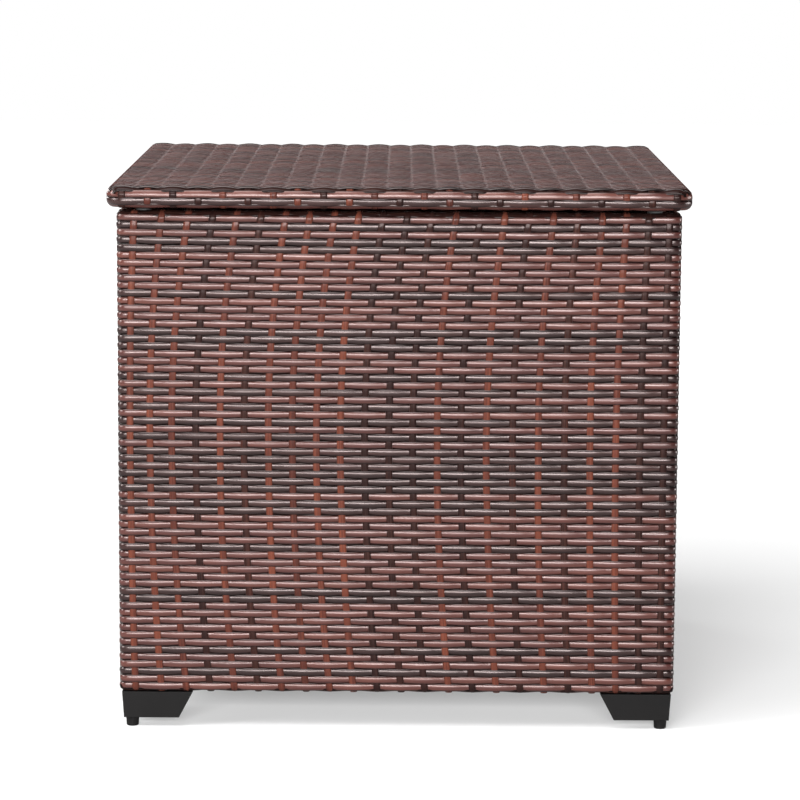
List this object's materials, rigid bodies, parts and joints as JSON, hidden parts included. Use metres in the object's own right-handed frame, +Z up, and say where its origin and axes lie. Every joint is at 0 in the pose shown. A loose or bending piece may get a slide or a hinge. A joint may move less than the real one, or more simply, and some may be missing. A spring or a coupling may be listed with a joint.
{
  "type": "wicker storage table",
  "caption": "Square woven-rattan garden table with a hinged, strut-assisted lid over a storage box, on black corner feet with levelling pads.",
  "frame": {"origin": "on the floor under the middle of the table", "axes": "+Z up, +X to the right seen from the front, -Y towards the front, hinges at +Y"},
  "size_m": [0.6, 0.6, 0.568],
  "materials": {
    "wicker": "satin polyethylene strand, mixed reddish brown and dark brown",
    "frame_paint": "dark brown powder coat on steel tube",
    "zinc_steel": "bright zinc plated",
    "floor_plastic": "fine pebbled sheet",
    "bumper_rubber": "matte",
    "foot_plastic": "satin moulded black",
    "hinge_steel": "black powder coat",
    "strut_paint": "gloss black enamel",
    "strut_plastic": "moulded black nylon",
    "rod_chrome": "hard chrome"
  },
  "bodies": {
    "base": {"front_frame": "frame_paint", "back_frame": "frame_paint", "left_frame": "frame_paint", "right_frame": "frame_paint", "front_weave": "wicker", "back_weave": "wicker", "left_weave": "wicker", "right_weave": "wicker", "panel_bolts": "zinc_steel", "rivet_nuts": "zinc_steel", "floor_bar_left": "frame_paint", "floor_bar_middle": "frame_paint", "floor_bar_right": "frame_paint", "floor_bar_screws": "zinc_steel", "floor_board": "floor_plastic", "foot_nuts": "zinc_steel", "foot_screws": "zinc_steel", "lid_bumpers": "bumper_rubber", "hinge_body_screws": "zinc_steel", "strut_base_screws": "zinc_steel", "corner_foot_front_left": "foot_plastic", "corner_foot_front_right": "foot_plastic", "corner_foot_back_right": "foot_plastic", "corner_foot_back_left": "foot_plastic", "hinge_left_body_leaf": "hinge_steel", "hinge_left_pin": "zinc_steel", "strut_left_lower_bracket": "zinc_steel", "hinge_right_body_leaf": "hinge_steel", "hinge_right_pin": "zinc_steel", "strut_right_lower_bracket": "zinc_steel"},
    "lid": {"lid_frame": "frame_paint", "lid_weave": "wicker", "hinge_lid_screws": "zinc_steel", "strut_lid_screws": "zinc_steel", "hinge_left_lid_leaf": "hinge_steel", "strut_left_upper_bracket": "zinc_steel", "hinge_right_lid_leaf": "hinge_steel", "strut_right_upper_bracket": "zinc_steel"},
    "strut_left_cylinder": {"strut_left_cylinder": "strut_paint", "strut_left_guide": "strut_plastic", "strut_left_lower_eye": "strut_plastic"},
    "strut_left_rod": {"strut_left_rod": "rod_chrome", "strut_left_upper_eye": "strut_plastic"},
    "strut_right_cylinder": {"strut_right_cylinder": "strut_paint", "strut_right_guide": "strut_plastic", "strut_right_lower_eye": "strut_plastic"},
    "strut_right_rod": {"strut_right_rod": "rod_chrome", "strut_right_upper_eye": "strut_plastic"},
    "levelling_foot_front_left": {"foot_pad_front_left": "foot_plastic", "foot_stud_front_left": "zinc_steel"},
    "levelling_foot_front_right": {"foot_pad_front_right": "foot_plastic", "foot_stud_front_right": "zinc_steel"},
    "levelling_foot_back_right": {"foot_pad_back_right": "foot_plastic", "foot_stud_back_right": "zinc_steel"},
    "levelling_foot_back_left": {"foot_pad_back_left": "foot_plastic", "foot_stud_back_left": "zinc_steel"}
  },
  "joints": [
    {"name": "lid_hinge", "type": "hinge", "parent": "base", "child": "lid", "pos_m": [0, 0.294, 0.542], "axis": [-1, 0, 0], "range_deg": [0, 80], "stiffness_Nm_per_rad": 5, "springref_deg": 111.73},
    {"name": "strut_left_lower_pivot", "type": "hinge", "parent": "base", "child": "strut_left_cylinder", "pos_m": [-0.24, 0.236, 0.35059], "axis": [-1, 0, 0], "range_deg": [0, 40]},
    {"name": "strut_left_upper_pivot", "type": "hinge", "parent": "lid", "child": "strut_left_rod", "pos_m": [-0.24, 0.09436, 0.53], "axis": [-1, 0, 0], "range_deg": [-40, 0]},
    {"name": "strut_right_lower_pivot", "type": "hinge", "parent": "base", "child": "strut_right_cylinder", "pos_m": [0.24, 0.236, 0.35059], "axis": [-1, 0, 0], "range_deg": [0, 40]},
    {"name": "strut_right_upper_pivot", "type": "hinge", "parent": "lid", "child": "strut_right_rod", "pos_m": [0.24, 0.09436, 0.53], "axis": [-1, 0, 0], "range_deg": [-40, 0]},
    {"name": "levelling_front_left", "type": "slide", "parent": "base", "child": "levelling_foot_front_left", "axis": [0, 0, -1], "range_m": [0, 0.01]},
    {"name": "levelling_front_right", "type": "slide", "parent": "base", "child": "levelling_foot_front_right", "axis": [0, 0, -1], "range_m": [0, 0.01]},
    {"name": "levelling_back_right", "type": "slide", "parent": "base", "child": "levelling_foot_back_right", "axis": [0, 0, -1], "range_m": [0, 0.01]},
    {"name": "levelling_back_left", "type": "slide", "parent": "base", "child": "levelling_foot_back_left", "axis": [0, 0, -1], "range_m": [0, 0.01]}
  ],
  "couplings": [
    {"joint": "strut_left_lower_pivot", "follows": "lid_hinge", "ratio": 0.5},
    {"joint": "strut_left_upper_pivot", "follows": "lid_hinge", "ratio": -0.5},
    {"joint": "strut_right_lower_pivot", "follows": "lid_hinge", "ratio": 0.5},
    {"joint": "strut_right_upper_pivot", "follows": "lid_hinge", "ratio": -0.5}
  ]
}
